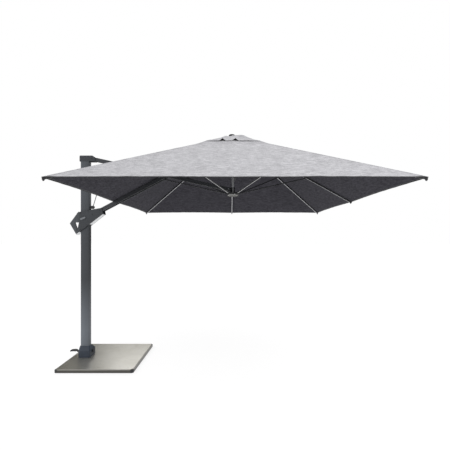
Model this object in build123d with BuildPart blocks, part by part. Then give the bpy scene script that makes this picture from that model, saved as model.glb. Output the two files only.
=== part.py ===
from build123d import *
import os
from math import asin, atan, atan2, cos, degrees, hypot, pi, radians, sin, sqrt, tan

# Cantilever parasol: a square canopy on eight ribs, hung beside its mast from a folding boom.
# Frame: origin on the floor, on the axis that the mast turns about. +X points to the canopy, +Z up.
# All lengths are in millimetres.

# ---- canopy
CANOPY_SIDE = 3000.0
CANOPY_SLOPE = 0.55            # rise over run of each of the four panels
APEX_Z = 2805.0                # where the four panels would meet
SHEET = 1.0
VENT_OPENING = 240.0           # side of the square opening under the vent cap
VENT_CAP_SIDE = 634.0
VENT_CAP_SLOPE = 0.58
VENT_CAP_APEX_Z = 2834.0
SLIT_X = (915.0, 1030.0)       # where the boom passes through the panel beside the mast
SLIT_HALF_WIDTH = 36.0

# ---- hub, crown and the eight ribs
HUB_X = 1854.0                 # axis of the canopy's telescopic centre post
RING_R = 80.0                  # radius of the rib and strut pivots about that axis
STRUT_PIVOT_Z = 2083.0
HIP_STRUT = 900.0              # canopy strut of a corner rib, and crown to strut pivot along that rib
FOLD_DEG = 68.0                # travel of the boom, and of each corner strut
RIB_W = 12.0
RIB_H = 16.0
RIB_WALL = 1.5
RIB_RISE = 20.0                # rib axis above the line of its pivots
RIB_FABRIC_GAP = 5.5
STRUT_W = 10.0
STRUT_H = 12.0
RIB_PIN_R = 2.5
PIN_PLAY = 0.3
POST_TOP = 2766.0

# ---- mast, boom and lift strut
MAST_W = 112.0
MAST_D = 65.0
MAST_WALL = 3.0
MAST_BOTTOM = 52.0
MAST_TOP = 2500.0
BOOM_PIVOT = (90.0, 2515.0)
HUB_PIVOT = (1800.0, 2135.0)
BOOM_LANE = (12.0, 26.0)       # each of the boom's two bars, measured out from the middle plane
BOOM_H = 44.0
BRACE_ON_BOOM = 961.0          # from the boom's pivot to where the lift strut meets it
BRACE_FOOT = (100.0, 1817.5)
BRACE_LANE = (28.0, 38.0)
BRACE_H = 44.0
CHEEK_LANE = (40.0, 48.0)
PIVOT_PIN_R = 6.0
CHEEK = [(-62, 1594), (232, 1821), (216, 1896), (78, 1873), (-62, 1846)]
GLIDE_W = 124.0
LEVER_PIVOT = (8.0, 1773.0)
CORD_R = 4.0
CORD_ROUTE = [(87.0, 0.0, 1912.0), (134.0, 0.0, 2047.0), (232.0, 0.0, 2447.0)]

# ---- base
BASE_SIDE = 890.0
BASE_X = 290.0                 # middle of the base, under the load between mast and canopy
BASE_TOP = 40.0
BASE_EDGE = 12.0
BASE_CORNER = 16.0
CORNER_CAP = 12.0
COVER_WALL = 2.5
FOOT_Z = 6.0
BOLT_RING_R = 38.0
SPIGOT_LENGTH = 290.0          # ends below the carriage at the bottom of its slide
FOOT_BOX = (-58.5, 83.5)       # left and right faces of the housing over the mast's foot
PEDAL_PIN = (-68.0, 72.0)
KNOB_Z = 102.0
KNOB_R = 18.0

boom_angle = atan2(BOOM_PIVOT[1] - HUB_PIVOT[1], HUB_PIVOT[0] - BOOM_PIVOT[0])
boom_length = hypot(BOOM_PIVOT[1] - HUB_PIVOT[1], HUB_PIVOT[0] - BOOM_PIVOT[0])
brace_top = (
    BOOM_PIVOT[0] + BRACE_ON_BOOM * cos(boom_angle),
    BOOM_PIVOT[1] - BRACE_ON_BOOM * sin(boom_angle),
)
brace_length = hypot(brace_top[0] - BRACE_FOOT[0], brace_top[1] - BRACE_FOOT[1])
brace_angle = atan2(brace_top[1] - BRACE_FOOT[1], brace_top[0] - BRACE_FOOT[0])

# Corner ribs: crown, rib and strut make an isosceles triangle that stays one while it folds.
hip_slope = atan(CANOPY_SLOPE / sqrt(2))
hip_crown_z = STRUT_PIVOT_Z + 2 * HIP_STRUT * sin(hip_slope)
closed_angle = hip_slope + radians(FOLD_DEG)
crown_travel = 2 * HIP_STRUT * (sin(closed_angle) - sin(hip_slope))
# Middle ribs: steeper, so the strut meets the rib where both also line up when folded.
mid_slope = atan(CANOPY_SLOPE)
mid_drop = (RIB_RISE + RIB_H / 2) / cos(mid_slope) + RIB_FABRIC_GAP
mid_crown_z = APEX_Z - mid_drop - RING_R * CANOPY_SLOPE
mid_rise = mid_crown_z - STRUT_PIVOT_Z
mid_reach = (mid_rise + crown_travel) / sin(closed_angle)
mid_joint = (mid_reach**2 - mid_rise**2) / (2 * (mid_reach - mid_rise * sin(mid_slope)))
mid_strut = mid_reach - mid_joint
mid_strut_angle = asin((mid_rise - mid_joint * sin(mid_slope)) / mid_strut)


class Arm:
    """One of the eight spokes: its azimuth, and the lengths and slopes of its rib and strut."""

    def __init__(self, index):
        self.azimuth = 45.0 * index
        self.is_hip = index % 2 == 1
        self.slope = hip_slope if self.is_hip else mid_slope
        self.crown_z = hip_crown_z if self.is_hip else mid_crown_z
        self.joint = HIP_STRUT if self.is_hip else mid_joint
        self.strut = HIP_STRUT if self.is_hip else mid_strut
        self.strut_angle = hip_slope if self.is_hip else mid_strut_angle
        reach = CANOPY_SIDE / sqrt(2) if self.is_hip else CANOPY_SIDE / 2
        self.length = (reach - RING_R - 25.0) / cos(self.slope)
        self.out = Vector(cos(radians(self.azimuth)), sin(radians(self.azimuth)), 0)
        self.side = Vector(-self.out.Y, self.out.X, 0)

    def rib_plane(self):
        """Origin at the crown pivot, x down along the rib, y up out of it, z to the side."""
        start = Vector(HUB_X, 0, self.crown_z) + self.out * RING_R
        down = self.out * cos(self.slope) - Vector(0, 0, sin(self.slope))
        return Plane(origin=start, x_dir=down, z_dir=-self.side)

    def strut_plane(self):
        """Origin at the hub pivot, x up along the strut, z to the side."""
        start = Vector(HUB_X, 0, STRUT_PIVOT_Z) + self.out * RING_R
        up = self.out * cos(self.strut_angle) + Vector(0, 0, sin(self.strut_angle))
        return Plane(origin=start, x_dir=up, z_dir=-self.side)

    def upright(self, z):
        """Origin on the post's axis at height z, x outward, y up."""
        return Plane(origin=(HUB_X, 0, z), x_dir=self.out, z_dir=-self.side)


ARMS = [Arm(i) for i in range(8)]
SIDE_VIEW = Plane.XZ           # x is +X, y is +Z, and its normal is -Y
PARTS = []


def finish(builder, name):
    """Label a finished piece and keep it for export."""
    builder.part.label = name
    PARTS.append(builder.part)


def both_sides(lane):
    """Planes in side view at the start of a lane, one for each side of the middle."""
    return [(SIDE_VIEW.offset(lane[0]), 1), (SIDE_VIEW.offset(-lane[0]), -1)]


def cross_pin(x, z, radius, half_length):
    """A round pin along Y."""
    with BuildPart() as pin:
        with BuildSketch(SIDE_VIEW.offset(-half_length)):
            with Locations((x, z)):
                Circle(radius)
        extrude(amount=2 * half_length)
        chamfer(pin.edges().filter_by(GeomType.CIRCLE), 0.8)
    return pin


def bar_pair(start, end, lane, height, holes, ties, tie_r):
    """Two round-ended flat bars side by side, with pin holes, joined by welded cross tubes."""
    length = hypot(end[0] - start[0], end[1] - start[1])
    tilt = degrees(atan2(end[1] - start[1], end[0] - start[0]))
    along = (cos(radians(tilt)), sin(radians(tilt)))
    middle = ((start[0] + end[0]) / 2, (start[1] + end[1]) / 2)
    with BuildPart() as pair:
        for plane, way in both_sides(lane):
            with BuildSketch(plane):
                with Locations(middle):
                    SlotCenterToCenter(length, height, rotation=tilt)
                for at in holes:
                    with Locations((start[0] + at * along[0], start[1] + at * along[1])):
                        Circle(PIVOT_PIN_R + PIN_PLAY, mode=Mode.SUBTRACT)
            extrude(amount=way * (lane[1] - lane[0]))
        with BuildSketch(SIDE_VIEW.offset(-lane[0] - 1)):
            for at in ties:
                with Locations((start[0] + at * along[0], start[1] + at * along[1])):
                    Circle(tie_r)
        extrude(amount=2 * lane[0] + 2)
    return pair


# ---- base

def base_outline(inset, corner):
    """The base's square with its corners cut off."""
    side = BASE_SIDE - 2 * inset
    cut = corner - inset * (2 - sqrt(2))
    with BuildSketch(mode=Mode.PRIVATE) as outline:
        with Locations((BASE_X, 0)):
            Rectangle(side, side)
        chamfer(outline.vertices(), cut)
    return outline.sketch


def make_base():
    cover_corner = BASE_CORNER + CORNER_CAP * sqrt(2)
    bolt_spots = PolarLocations(BOLT_RING_R, 4, start_angle=45)
    with BuildPart() as cover:
        with BuildSketch(Plane.XY.offset(4.0)):
            add(base_outline(0, cover_corner))
        extrude(amount=BASE_TOP - 4.0)
        chamfer(cover.faces().sort_by(Axis.Z)[-1].edges(), BASE_EDGE / 2, BASE_EDGE)
        with BuildSketch(Plane.XY.offset(4.0)):
            add(base_outline(BASE_EDGE, cover_corner))
        extrude(amount=BASE_TOP - COVER_WALL - 4.0, mode=Mode.SUBTRACT)
        with bolt_spots:
            Cylinder(4.2, 200, mode=Mode.SUBTRACT)
    finish(cover, "base_cover")

    with BuildPart() as slab:
        with BuildSketch(Plane.XY.offset(FOOT_Z)):
            add(base_outline(BASE_EDGE, cover_corner))
        extrude(amount=BASE_TOP - COVER_WALL - FOOT_Z)
        with bolt_spots:
            Cylinder(4.2, 200, mode=Mode.SUBTRACT)
    finish(slab, "base_slab")

    with BuildPart() as caps:
        with BuildSketch(Plane.XY.offset(4.0)):
            add(base_outline(0, BASE_CORNER))
            add(base_outline(0, cover_corner), mode=Mode.SUBTRACT)
        extrude(amount=BASE_TOP - 8.0)
        chamfer(caps.faces().group_by(Axis.Z)[-1].edges(), 1.5)
    finish(caps, "base_corner_caps")

    with BuildPart() as feet:
        with Locations((BASE_X, 0)):
            with GridLocations(740, 740, 2, 2):
                Cylinder(28.0, FOOT_Z, align=(Align.CENTER, Align.CENTER, Align.MIN))
        Cylinder(28.0, FOOT_Z, align=(Align.CENTER, Align.CENTER, Align.MIN))
        chamfer(feet.faces().group_by(Axis.Z)[0].edges(), 1.5)
    finish(feet, "base_feet")


def make_spigot():
    """The steel stub that the mast turns on, bolted through the cover into the slab."""
    with BuildPart() as spigot:
        with BuildSketch(Plane.XY.offset(BASE_TOP)):
            Circle(50.0)
        extrude(amount=8.0)
        with BuildSketch(Plane.XY.offset(BASE_TOP)):
            Circle(24.0)
        extrude(amount=SPIGOT_LENGTH)
        with BuildSketch(Plane.XY.offset(BASE_TOP)):
            Circle(20.5)
        extrude(amount=SPIGOT_LENGTH, mode=Mode.SUBTRACT)
        with Locations((0, 0, BASE_TOP + 8.0)):
            with PolarLocations(BOLT_RING_R, 4, start_angle=45):
                CounterBoreHole(4.2, 7.0, 5.5)
    finish(spigot, "spigot")

    with BuildPart() as bolts:
        with BuildSketch(Plane.XY.offset(12.0)):
            with PolarLocations(BOLT_RING_R, 4, start_angle=45):
                Circle(4.0)
        extrude(amount=BASE_TOP + 2.5 - 12.0)
        with BuildSketch(Plane.XY.offset(BASE_TOP + 2.5)):
            with PolarLocations(BOLT_RING_R, 4, start_angle=45):
                Circle(6.6)
        extrude(amount=5.0)
        with BuildSketch(Plane.XY.offset(BASE_TOP + 4.5)):
            with PolarLocations(BOLT_RING_R, 4, start_angle=45):
                RegularPolygon(3.5, 6)
        extrude(amount=4.0, mode=Mode.SUBTRACT)
    finish(bolts, "spigot_bolts")


# ---- mast

def mast_profile(grow, radius):
    with BuildSketch(mode=Mode.PRIVATE) as profile:
        RectangleRounded(MAST_W + 2 * grow, MAST_D + 2 * grow, radius)
    return profile.sketch


def make_mast():
    with BuildPart() as tube:
        with BuildSketch(Plane.XY.offset(MAST_BOTTOM)):
            add(mast_profile(0, 14.0))
            add(mast_profile(-MAST_WALL, 11.0), mode=Mode.SUBTRACT)
        extrude(amount=MAST_TOP - MAST_BOTTOM)
    finish(tube, "mast_tube")

    with BuildPart() as bush:
        with BuildSketch(Plane.XY.offset(BASE_TOP + 20.0)):
            add(mast_profile(-MAST_WALL, 11.0))
            Circle(24.0 + PIN_PLAY, mode=Mode.SUBTRACT)
        extrude(amount=SPIGOT_LENGTH - 40.0)
    finish(bush, "mast_bush")

    head_z = MAST_TOP - 18.0
    head_top = 2553.0
    roof = 2541.0
    with BuildPart() as head:
        with BuildSketch(SIDE_VIEW.offset(-36.0)):
            with BuildLine():
                Polyline(
                    (-68, head_z), (126, head_z), (126, 2530), (94, head_top),
                    (-60, head_top), (-68, head_top - 10), close=True,
                )
            make_face()
        extrude(amount=72.0)
        fillet(head.edges().filter_by(Axis.Z).group_by(Axis.X)[0], 9.0)
        chamfer(head.edges().filter_by(Axis.X).group_by(Axis.Z)[-1], 3.0)
        with BuildSketch(Plane.XY.offset(head_z)):
            add(mast_profile(0, 14.0))
        extrude(amount=MAST_TOP - head_z, mode=Mode.SUBTRACT)
        with BuildSketch(SIDE_VIEW.offset(-BOOM_LANE[1] - 0.5)):
            with BuildLine():
                Polyline((62, head_z), (140, head_z), (140, roof), (62, roof), close=True)
            make_face()
        extrude(amount=2 * BOOM_LANE[1] + 1, mode=Mode.SUBTRACT)
        with BuildSketch(SIDE_VIEW.offset(-40.0)):
            with Locations(BOOM_PIVOT):
                Circle(PIVOT_PIN_R + 0.1)
        extrude(amount=80.0, mode=Mode.SUBTRACT)
    finish(head, "mast_head")
    finish(cross_pin(*BOOM_PIVOT, PIVOT_PIN_R, 39.0), "boom_pivot_pin")

    cleat_x = MAST_W / 2
    with BuildPart() as cleat:
        with BuildSketch(SIDE_VIEW.offset(-12.0)):
            with BuildLine():
                Polyline(
                    (cleat_x, 1888), (cleat_x + 36, 1888), (cleat_x + 50, 1900), (cleat_x + 50, 1916),
                    (cleat_x + 42, 1926), (cleat_x + 18, 1926), (cleat_x, 1916), close=True,
                )
            make_face()
        extrude(amount=24.0)
        fillet(cleat.edges().filter_by(Axis.Y).group_by(Axis.X)[-1], 5.0)
        cord_way = Vector(*CORD_ROUTE[1]) - Vector(*CORD_ROUTE[0])
        with BuildSketch(Plane(origin=CORD_ROUTE[0], z_dir=cord_way)):
            Circle(CORD_R + 0.2)
        extrude(amount=30.0, mode=Mode.SUBTRACT)
    finish(cleat, "cord_cleat")


# ---- restraint cord from the cleat up to the boom

def make_cord():
    """Pulled tight between the cleat and the boom, with one slight bend where it leaves the cleat."""
    first, corner, last = (Vector(*point) for point in CORD_ROUTE)
    turn = radians((corner - first).get_angle(last - corner))
    radius = 0.45 * (corner - first).length / tan(turn / 2)
    with BuildPart() as cord:
        with BuildLine() as path:
            FilletPolyline(first, corner, last, radius=[radius])
        with BuildSketch(Plane(origin=first, z_dir=corner - first)):
            Circle(CORD_R)
        sweep(path=path.wires()[0])
    length = path.wires()[0].length
    print("restraint cord: bend radius", round(radius), "length", round(length, 1))
    print("restraint cord: volume ratio", cord.part.volume / (pi * CORD_R**2 * length))
    finish(cord, "restraint_cord")


# ---- foot and pedal

def make_foot():
    middle = (FOOT_BOX[0] + FOOT_BOX[1]) / 2
    width = FOOT_BOX[1] - FOOT_BOX[0]
    with BuildPart() as housing:
        with BuildSketch(Plane.XY.offset(BASE_TOP + 0.8)):
            with Locations((middle, 0)):
                RectangleRounded(width, 170, 12)
        extrude(amount=82.0)
        with BuildSketch(Plane.XY.offset(BASE_TOP + 82.8)):
            with Locations((middle, 0)):
                RectangleRounded(width, 170, 12)
        with BuildSketch(Plane.XY.offset(BASE_TOP + 128.0)):
            RectangleRounded(MAST_W + 12, MAST_D + 14, 16)
        loft()
        for way in (-1, 1):
            with BuildSketch(SIDE_VIEW.offset(-way * 20)):
                with BuildLine():
                    Polyline((-50, 44), (-70, 50), (-79, 66), (-79, 78), (-68, 88), (-50, 96), close=True)
                make_face()
            extrude(amount=way * 6)
        with BuildSketch(SIDE_VIEW.offset(-26.0)):
            with Locations(PEDAL_PIN):
                Circle(4.1)
        extrude(amount=52.0, mode=Mode.SUBTRACT)
        with BuildSketch(Plane.XY.offset(BASE_TOP)):
            Circle(52.0)
        extrude(amount=MAST_BOTTOM - BASE_TOP, mode=Mode.SUBTRACT)
        with BuildSketch(Plane.XY.offset(MAST_BOTTOM)):
            add(mast_profile(0, 14.0))
        extrude(amount=200.0, mode=Mode.SUBTRACT)
        with BuildSketch(Plane.YZ.offset(FOOT_BOX[1])):
            with Locations((0, KNOB_Z)):
                Circle(7.0)
        extrude(amount=-15.0, mode=Mode.SUBTRACT)
    finish(housing, "foot_housing")

    with BuildPart() as hardware:
        with BuildSketch(SIDE_VIEW.offset(-25.0)):
            with Locations(PEDAL_PIN):
                Circle(4.0)
        extrude(amount=50.0)
        with BuildSketch(Plane.YZ.offset(FOOT_BOX[1] + 1.0)):
            with Locations((0, KNOB_Z)):
                Circle(KNOB_R)
        extrude(amount=14.0)
        chamfer(hardware.faces().group_by(Axis.X)[-1].edges(), 3.0)
        with BuildSketch(Plane.YZ.offset(FOOT_BOX[1] + 1.0)):
            with Locations((0, KNOB_Z)):
                Circle(6.8)
        extrude(amount=-15.0)
    finish(hardware, "foot_pin_and_knob")

    with BuildPart() as pedal:
        with BuildSketch(SIDE_VIEW.offset(-13.5)):
            with BuildLine():
                Polyline(
                    (-68, 64), (-76, 66), (-92, 80), (-112, 96), (-140, 100), (-189, 96), (-189, 107),
                    (-140, 112), (-106, 107), (-82, 90), (-68, 80), (-61, 76), (-61, 68), close=True,
                )
            make_face()
        extrude(amount=27.0)
        with BuildSketch(SIDE_VIEW.offset(-28.0)):
            with BuildLine():
                Polyline(
                    (-189, 96), (-189, 107), (-140, 112), (-116, 109), (-116, 97), (-140, 100), close=True,
                )
            make_face()
        extrude(amount=56.0)
        with BuildSketch(SIDE_VIEW.offset(-28.0)):
            with Locations(PEDAL_PIN):
                Circle(4.0 + PIN_PLAY)
        extrude(amount=56.0, mode=Mode.SUBTRACT)
        fillet(pedal.edges().filter_by(Axis.Z).group_by(Axis.X)[0], 3.0)
    finish(pedal, "foot_pedal")


# ---- boom, hung from the mast head

def make_boom():
    boom = bar_pair(
        BOOM_PIVOT, HUB_PIVOT, BOOM_LANE, BOOM_H,
        holes=[0, boom_length], ties=[290.0, 540.0, 800.0], tie_r=8.0,
    )
    finish(boom, "boom")

    with BuildPart() as bracket:
        with BuildSketch(SIDE_VIEW.offset(-BOOM_LANE[0])):
            with BuildLine():
                Polyline(
                    (219, 2500), (219, 2455), (226, 2449), (242, 2448), (252, 2454), (252, 2490), close=True,
                )
            make_face()
        extrude(amount=2 * BOOM_LANE[0])
        with BuildSketch(SIDE_VIEW.offset(-20.0)):
            with Locations((236, 2480)):
                Circle(4.0)
        extrude(amount=40.0, mode=Mode.SUBTRACT)
    finish(bracket, "cord_bracket")


# ---- lift strut and the carriage that slides on the mast

def make_brace():
    brace = bar_pair(
        BRACE_FOOT, brace_top, BRACE_LANE, BRACE_H,
        holes=[0], ties=[180.0], tie_r=9.0,
    )
    finish(brace, "lift_strut")
    with BuildPart() as bolts:
        for plane, way in both_sides((BRACE_LANE[1], 0)):
            with BuildSketch(plane):
                with Locations(brace_top):
                    RegularPolygon(9.0, 6)
            extrude(amount=way * 7)
            with BuildSketch(plane):
                with Locations(brace_top):
                    Circle(13.0)
            extrude(amount=way * 2)
    finish(bolts, "lift_strut_bolts")


def cheek_edge(x):
    """Height of the cheeks' long lower edge."""
    rise = (CHEEK[1][1] - CHEEK[0][1]) / (CHEEK[1][0] - CHEEK[0][0])
    return CHEEK[0][1] + rise * (x - CHEEK[0][0])


def make_carriage():
    with BuildPart() as cheeks:
        for plane, way in both_sides(CHEEK_LANE):
            with BuildSketch(plane) as outline:
                with BuildLine():
                    Polyline(*CHEEK, close=True)
                make_face()
                fillet(outline.vertices(), 6.0)
                with Locations(BRACE_FOOT):
                    Circle(PIVOT_PIN_R + 0.1, mode=Mode.SUBTRACT)
                with Locations(LEVER_PIVOT):
                    Circle(5.0 + PIN_PLAY, mode=Mode.SUBTRACT)
            extrude(amount=way * (CHEEK_LANE[1] - CHEEK_LANE[0]))
    finish(cheeks, "carriage_cheeks")

    with BuildPart() as glide:
        with BuildSketch(Plane.XY.offset(1646.0)):
            RectangleRounded(GLIDE_W, 2 * CHEEK_LANE[0], 6)
            add(mast_profile(0.6, 14.5), mode=Mode.SUBTRACT)
        extrude(amount=194.0)
        with BuildSketch(SIDE_VIEW.offset(-50.0)):
            with BuildLine():
                Polyline(
                    (-90, 1500), (-90, cheek_edge(-90) + 7),
                    (90, cheek_edge(90) + 7), (90, 1500), close=True,
                )
            make_face()
        extrude(amount=100.0, mode=Mode.SUBTRACT)
    finish(glide, "carriage_glide")

    with BuildPart() as plate:
        with BuildSketch(SIDE_VIEW.offset(-CHEEK_LANE[0])):
            for left, right in ((63, 226), (-106, -63)):
                with BuildLine():
                    Polyline(
                        (left, cheek_edge(left)), (right, cheek_edge(right)),
                        (right, cheek_edge(right) + 6), (left, cheek_edge(left) + 6), close=True,
                    )
                make_face()
        extrude(amount=2 * CHEEK_LANE[0])
    finish(plate, "carriage_plate")

    with BuildPart() as handle:
        with BuildSketch(SIDE_VIEW.offset(-18.0)):
            with BuildLine():
                Polyline((-62, 1846), (-90, 1850), (-196, 1703), (-114, 1562), (-62, 1601.5), close=True)
            make_face()
            with BuildLine(mode=Mode.PRIVATE) as gap:
                Polyline((-138, 1716), (-82, 1717), (-103, 1612), close=True)
            with BuildSketch(mode=Mode.PRIVATE) as hole:
                add(gap.line)
                make_face()
            add(hole.sketch, mode=Mode.SUBTRACT)
        extrude(amount=36.0)
        fillet(handle.edges().filter_by(Axis.Y).group_by(Axis.X)[0], 6.0)
    finish(handle, "carriage_handle")
    finish(cross_pin(*BRACE_FOOT, PIVOT_PIN_R, 52.0), "strut_pivot_pin")

    with BuildPart() as lever:
        with BuildSketch(SIDE_VIEW.offset(CHEEK_LANE[1] + 1.0)):
            with Locations((-15, 1764)):
                SlotCenterToCenter(48, 23, rotation=degrees(atan2(9, 23)))
        extrude(amount=11.0)
        fillet(lever.faces().sort_by(Axis.Y)[0].edges(), 3.0)
        with BuildSketch(SIDE_VIEW.offset(CHEEK_LANE[1] + 2.0)):
            with Locations(LEVER_PIVOT):
                Circle(5.0)
        extrude(amount=-9.0)
    finish(lever, "release_lever")


# ---- hub, telescopic post and crown

def spoke_lugs(z, inner, half_gap, thick, tip_r, arms, hole_r):
    """Pairs of ears around a ring, one pair for each arm, with pin holes."""
    with BuildPart() as lugs:
        for arm in arms:
            for way in (-1, 1):
                with BuildSketch(arm.upright(z).offset(way * half_gap)):
                    with Locations(((inner + RING_R) / 2, 0)):
                        SlotCenterToCenter(RING_R - inner, 2 * tip_r)
                    if hole_r:
                        with Locations((RING_R, 0)):
                            Circle(hole_r, mode=Mode.SUBTRACT)
                extrude(amount=way * thick)
    return lugs.part


def spoke_pins(name, z, half_length, arms):
    with BuildPart() as pins:
        for arm in arms:
            with BuildSketch(arm.upright(z).offset(-half_length)):
                with Locations((RING_R, 0)):
                    Circle(RIB_PIN_R)
            extrude(amount=2 * half_length)
    finish(pins, name)


def post_stage(name, outer_r, wall, bottom, top):
    with BuildPart() as stage:
        with BuildSketch(Plane(origin=(HUB_X, 0, bottom))):
            Circle(outer_r)
            Circle(outer_r - wall, mode=Mode.SUBTRACT)
        extrude(amount=top - bottom)
    finish(stage, name)


def make_hub():
    ears = spoke_lugs(STRUT_PIVOT_Z, 60, STRUT_W / 2 + 0.5, 3.0, 8.0, ARMS, RIB_PIN_R)
    with BuildPart() as hub:
        with BuildSketch(Plane(origin=(HUB_X, 0, 2067))):
            Circle(68.0)
        extrude(amount=23.0)
        with BuildSketch(Plane(origin=(HUB_X, 0, 2067))):
            Circle(26.0)
        extrude(amount=88.0)
        with BuildSketch(SIDE_VIEW.offset(-BOOM_LANE[0] + 0.5)):
            with BuildLine():
                Polyline((1800, 2117), (1845, 2100), (1845, 2153), (1800, 2153), close=True)
            make_face()
            with Locations(HUB_PIVOT):
                Circle(18.0)
        extrude(amount=2 * BOOM_LANE[0] - 1)
        add(ears)
        with BuildSketch(Plane(origin=(HUB_X, 0, 2067))):
            Circle(16.0)
        extrude(amount=100.0, mode=Mode.SUBTRACT)
        with BuildSketch(SIDE_VIEW.offset(-20.0)):
            with Locations(HUB_PIVOT):
                Circle(PIVOT_PIN_R + 0.1)
        extrude(amount=40.0, mode=Mode.SUBTRACT)
    finish(hub, "hub_block")

    with BuildPart() as plate:
        with BuildSketch(Plane(origin=(HUB_X, 0, 2049))):
            Circle(67.0)
        extrude(amount=18.0)
        fillet(plate.edges().filter_by(GeomType.CIRCLE).group_by(Axis.Z)[0], 5.0)
    finish(plate, "hub_plate")
    finish(cross_pin(*HUB_PIVOT, PIVOT_PIN_R, 30.0), "hub_pivot_pin")
    spoke_pins("hub_spoke_pins", STRUT_PIVOT_Z, 8.5, ARMS)
    post_stage("post_outer", 16.0, 2.5, 2067.0, POST_TOP)
    post_stage("post_middle", 13.0, 2.5, 2069.0, POST_TOP + 2)


def make_crown():
    hips = [arm for arm in ARMS if arm.is_hip]
    mids = [arm for arm in ARMS if not arm.is_hip]
    hip_ears = spoke_lugs(hip_crown_z, 50, 3.5, 3.5, 8.0, hips, RIB_PIN_R)
    mid_ears = spoke_lugs(mid_crown_z, 50, 3.5, 3.5, 8.0, mids, 0)
    with BuildPart() as crown:
        with BuildSketch(Plane(origin=(HUB_X, 0, 2712))):
            Circle(62.0)
        extrude(amount=36.0)
        with BuildSketch(Plane(origin=(HUB_X, 0, 2712))):
            Circle(28.0)
        extrude(amount=73.0)
        with BuildSketch(Plane(origin=(HUB_X, 0, 2712))):
            Circle(12.0)
        extrude(amount=112.0)
        add(hip_ears)
        add(mid_ears)
        with BuildSketch(Plane(origin=(HUB_X, 0, 2712))):
            Circle(18.5)
        extrude(amount=58.0, mode=Mode.SUBTRACT)
    finish(crown, "crown_block")
    spoke_pins("crown_spoke_pins", hip_crown_z, 7.5, hips)
    post_stage("post_inner", 10.0, 2.0, 2071.0, 2770.0)


# ---- ribs and canopy struts

def make_rib(arm, number):
    plane = arm.rib_plane()
    low = RIB_RISE - RIB_H / 2
    with BuildPart() as rib:
        with BuildSketch(plane.offset(-RIB_W / 2)):
            with Locations(((arm.length + 14) / 2, RIB_RISE)):
                Rectangle(arm.length - 14, RIB_H)
        extrude(amount=RIB_W)
        with BuildSketch(plane.offset(-RIB_W / 2 + RIB_WALL)):
            with Locations(((arm.length + 14) / 2, RIB_RISE)):
                Rectangle(arm.length - 14, RIB_H - 2 * RIB_WALL)
        extrude(amount=RIB_W - 2 * RIB_WALL, mode=Mode.SUBTRACT)
        with BuildSketch(plane.offset(-3.0)):
            Circle(7.0)
            with BuildLine():
                Polyline((-6, 3), (8, low + 15), (44, low + 15), (44, low), (22, low), (4, -5.7), close=True)
            make_face()
            Circle(RIB_PIN_R + PIN_PLAY, mode=Mode.SUBTRACT)
        extrude(amount=6.0)
        for way in (-1, 1):
            with BuildSketch(plane.offset(way * (STRUT_W / 2 + 0.4))):
                with Locations((arm.joint, 0)):
                    Circle(8.0)
                with BuildLine():
                    Polyline(
                        (arm.joint - 8, 0), (arm.joint - 22, RIB_RISE + 6),
                        (arm.joint + 22, RIB_RISE + 6), (arm.joint + 8, 0), close=True,
                    )
                make_face()
                with Locations((arm.joint, 0)):
                    Circle(RIB_PIN_R + PIN_PLAY, mode=Mode.SUBTRACT)
            extrude(amount=way * 3.0)
    finish(rib, f"rib_{number}")

    with BuildPart() as cap:
        with BuildSketch(plane.offset(-7.0)):
            with BuildLine():
                Polyline(
                    (arm.length, low - 1.0), (arm.length, RIB_RISE + 9), (arm.length + 12, RIB_RISE + 9),
                    (arm.length + 18, RIB_RISE + 2), (arm.length + 16, 5), (arm.length + 9, 3), close=True,
                )
            make_face()
        extrude(amount=14.0)
        with BuildSketch(plane.offset(-RIB_W / 2 + RIB_WALL)):
            with Locations((arm.length - 14, RIB_RISE)):
                Rectangle(28, RIB_H - 2 * RIB_WALL)
        extrude(amount=RIB_W - 2 * RIB_WALL)
    finish(cap, f"rib_tip_{number}")


def make_canopy_strut(arm, number):
    plane = arm.strut_plane()
    with BuildPart() as strut:
        with BuildSketch(plane.offset(-STRUT_W / 2)):
            with Locations((arm.strut / 2, 0)):
                SlotCenterToCenter(arm.strut, STRUT_H)
            Circle(RIB_PIN_R + PIN_PLAY, mode=Mode.SUBTRACT)
        extrude(amount=STRUT_W)
        with BuildSketch(plane.offset(-9.0)):
            with Locations((arm.strut, 0)):
                Circle(RIB_PIN_R)
        extrude(amount=18.0)
    finish(strut, f"canopy_strut_{number}")


# ---- fabric

def pyramid(side, slope, apex_z, inner_half, thick):
    """Four sloping panels of one thickness, open in the middle out to inner_half."""
    half = side / 2
    rim_z = apex_z - half * slope
    top_z = apex_z - inner_half * slope
    with BuildPart() as cover:
        for drop, mode in ((0, Mode.ADD), (thick * sqrt(1 + slope**2), Mode.SUBTRACT)):
            reach = half + (60.0 if drop else 0.0)
            low_z = apex_z - drop - reach * slope
            with BuildSketch(Plane(origin=(HUB_X, 0, low_z))):
                Rectangle(2 * reach, 2 * reach)
            with BuildSketch(Plane(origin=(HUB_X, 0, apex_z - drop - 1.0 * slope))):
                Rectangle(2, 2)
            loft(mode=mode)
        if inner_half > 0:
            with BuildSketch(Plane(origin=(HUB_X, 0, rim_z - 50))):
                Rectangle(2 * inner_half, 2 * inner_half)
            extrude(amount=top_z - rim_z + 400, mode=Mode.SUBTRACT)
    return cover


def make_fabric():
    canopy = pyramid(CANOPY_SIDE, CANOPY_SLOPE, APEX_Z, VENT_OPENING / 2, SHEET)
    with BuildPart() as slit_canopy:
        add(canopy.part)
        with BuildSketch(Plane.XY.offset(2200)):
            with Locations(((SLIT_X[0] + SLIT_X[1]) / 2, 0)):
                Rectangle(SLIT_X[1] - SLIT_X[0], 2 * SLIT_HALF_WIDTH)
        extrude(amount=300, mode=Mode.SUBTRACT)
    finish(slit_canopy, "canopy")
    finish(pyramid(VENT_CAP_SIDE, VENT_CAP_SLOPE, VENT_CAP_APEX_Z, 12.0, SHEET), "vent_cap")


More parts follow.
